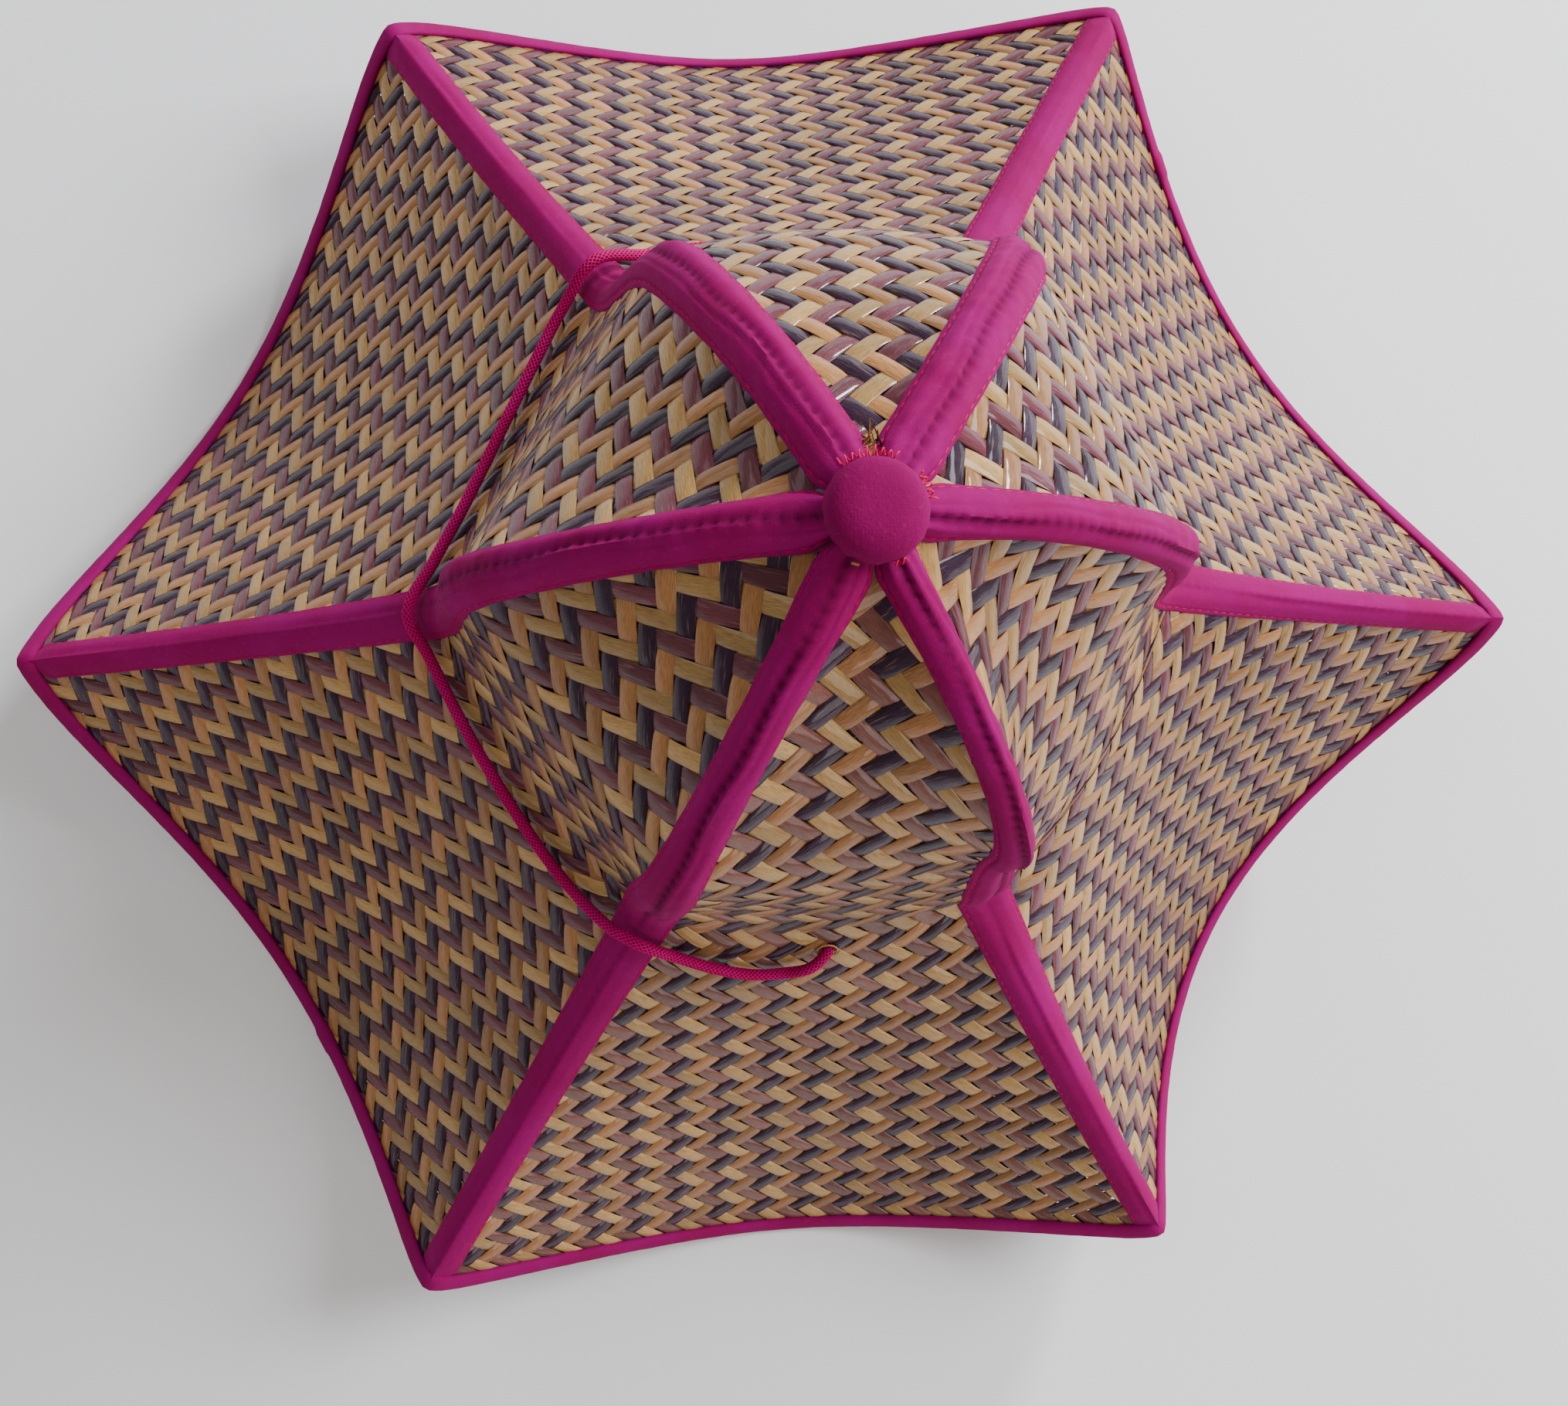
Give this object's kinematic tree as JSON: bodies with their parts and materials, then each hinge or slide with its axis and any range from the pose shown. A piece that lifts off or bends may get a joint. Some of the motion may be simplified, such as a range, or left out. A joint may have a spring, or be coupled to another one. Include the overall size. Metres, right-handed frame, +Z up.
{
  "type": "straw hat",
  "caption": "Woven straw sun hat with a tall rounded crown, a drooping six-pointed brim, taped seams, a bound edge, a covered button and a chin cord.",
  "frame": {"origin": "middle of the hat's outline on the plane it stands on", "axes": "+Z up through the crown, front at -Y"},
  "size_m": [0.428, 0.3856, 0.2333],
  "materials": {
    "straw": "flat strands in a two-over-two twill, tan and dyed dark, slightly glossy",
    "tape": "folded cotton bias tape, matt",
    "knit": "fine knitted cloth, matt",
    "cord": "braided cord, matt"
  },
  "bodies": {
    "root": {"panel_back": "straw", "panel_back_right": "straw", "panel_front_right": "straw", "panel_front": "straw", "panel_front_left": "straw", "panel_back_left": "straw", "tape_back_left": "tape", "tape_back_right": "tape", "tape_right": "tape", "tape_front_right": "tape", "tape_front_left": "tape", "tape_left": "tape", "edge_binding": "tape", "button": "knit", "chin_cord": "cord", "cord_knot": "cord"}
  },
  "joints": []
}
